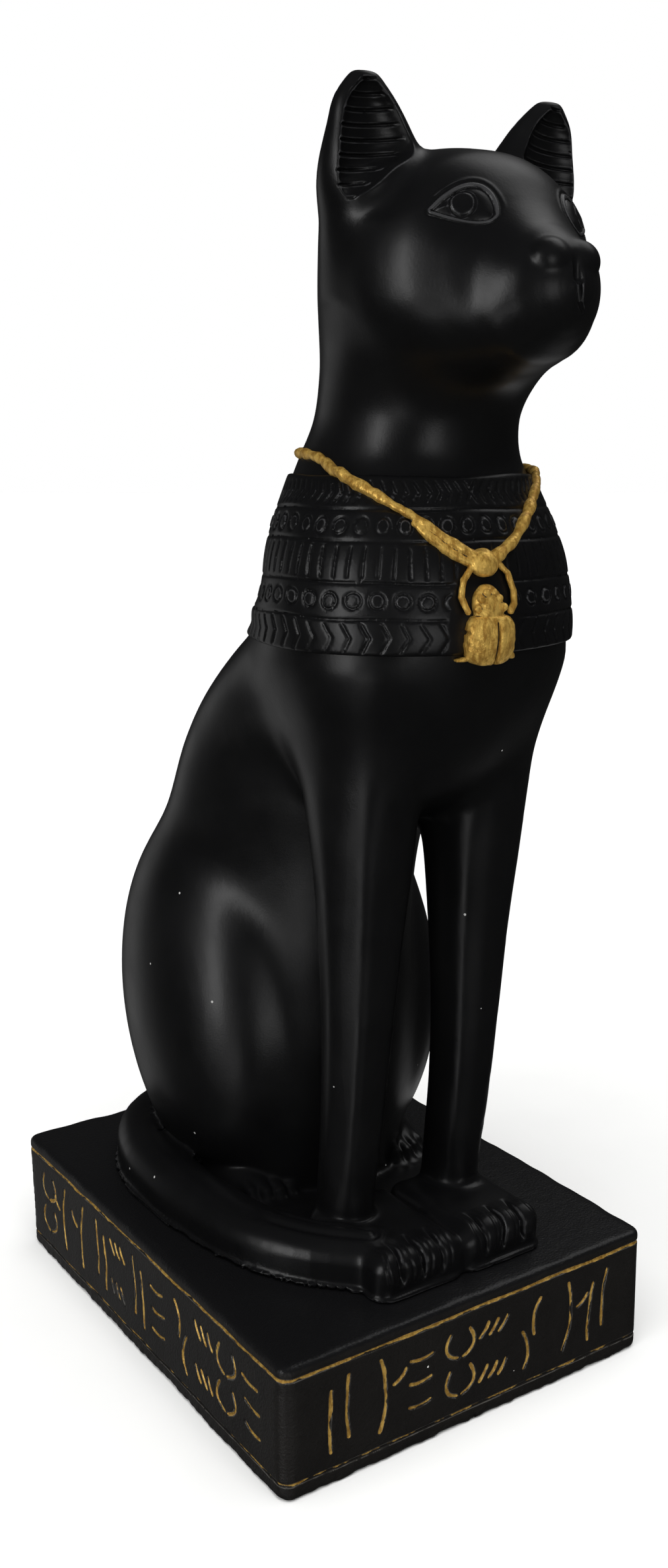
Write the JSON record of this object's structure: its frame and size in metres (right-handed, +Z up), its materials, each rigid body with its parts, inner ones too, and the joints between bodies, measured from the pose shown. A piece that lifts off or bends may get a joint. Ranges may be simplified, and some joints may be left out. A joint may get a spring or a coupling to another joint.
{
  "type": "bastet cat figure",
  "caption": "Seated Egyptian-style cat in black resin with a relief collar, gilt neck chain and scarab pendant, on a low plinth with gilt incised marks.",
  "frame": {"origin": "centre of the plinth's underside", "axes": "+Z up from the plinth to the ears; the cat looks along -Y; its tail lies round its right side, at -X"},
  "size_m": [0.1122, 0.1617, 0.3094],
  "materials": {
    "black_resin": "satin black cast resin",
    "plinth_black": "matte black cast resin",
    "gold_paint": "brushed-on gold paint"
  },
  "bodies": {
    "root": {"cat": "black_resin", "plinth": "plinth_black"}
  },
  "joints": []
}
